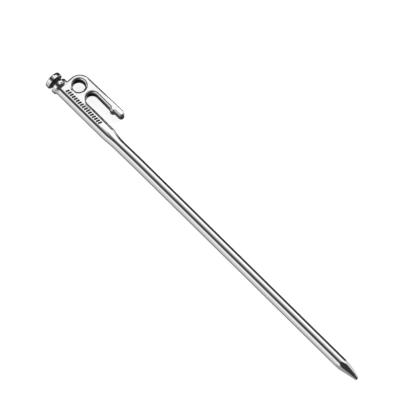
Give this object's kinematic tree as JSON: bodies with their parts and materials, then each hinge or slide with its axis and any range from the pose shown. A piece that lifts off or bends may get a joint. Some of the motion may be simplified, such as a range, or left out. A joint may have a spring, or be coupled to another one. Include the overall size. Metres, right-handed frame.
{
  "type": "tent stake",
  "caption": "Cast steel tent stake: round striking cap and stop collar, flat eye plate with an open barbed hook, round shank and a faceted driving point.",
  "frame": {"origin": "centre of the flat strike face, on the shank's axis", "axes": "+X along the shank from the strike face to the tip, +Y towards the hook and the eye, +Z square to the flat plate, out of the marked face; the stake lies flat as on a table"},
  "size_m": [0.3, 0.0245, 0.0124],
  "materials": {
    "steel": "polished stainless steel",
    "mark_enamel": "satin black enamel"
  },
  "bodies": {
    "root": {"striking_cap": "steel", "puller_neck": "steel", "stop_collar": "steel", "eye_plate": "steel", "hook_arm": "steel", "spine": "steel", "mark_fill": "mark_enamel", "shoulder": "steel", "shank": "steel", "driving_point": "steel"}
  },
  "joints": []
}
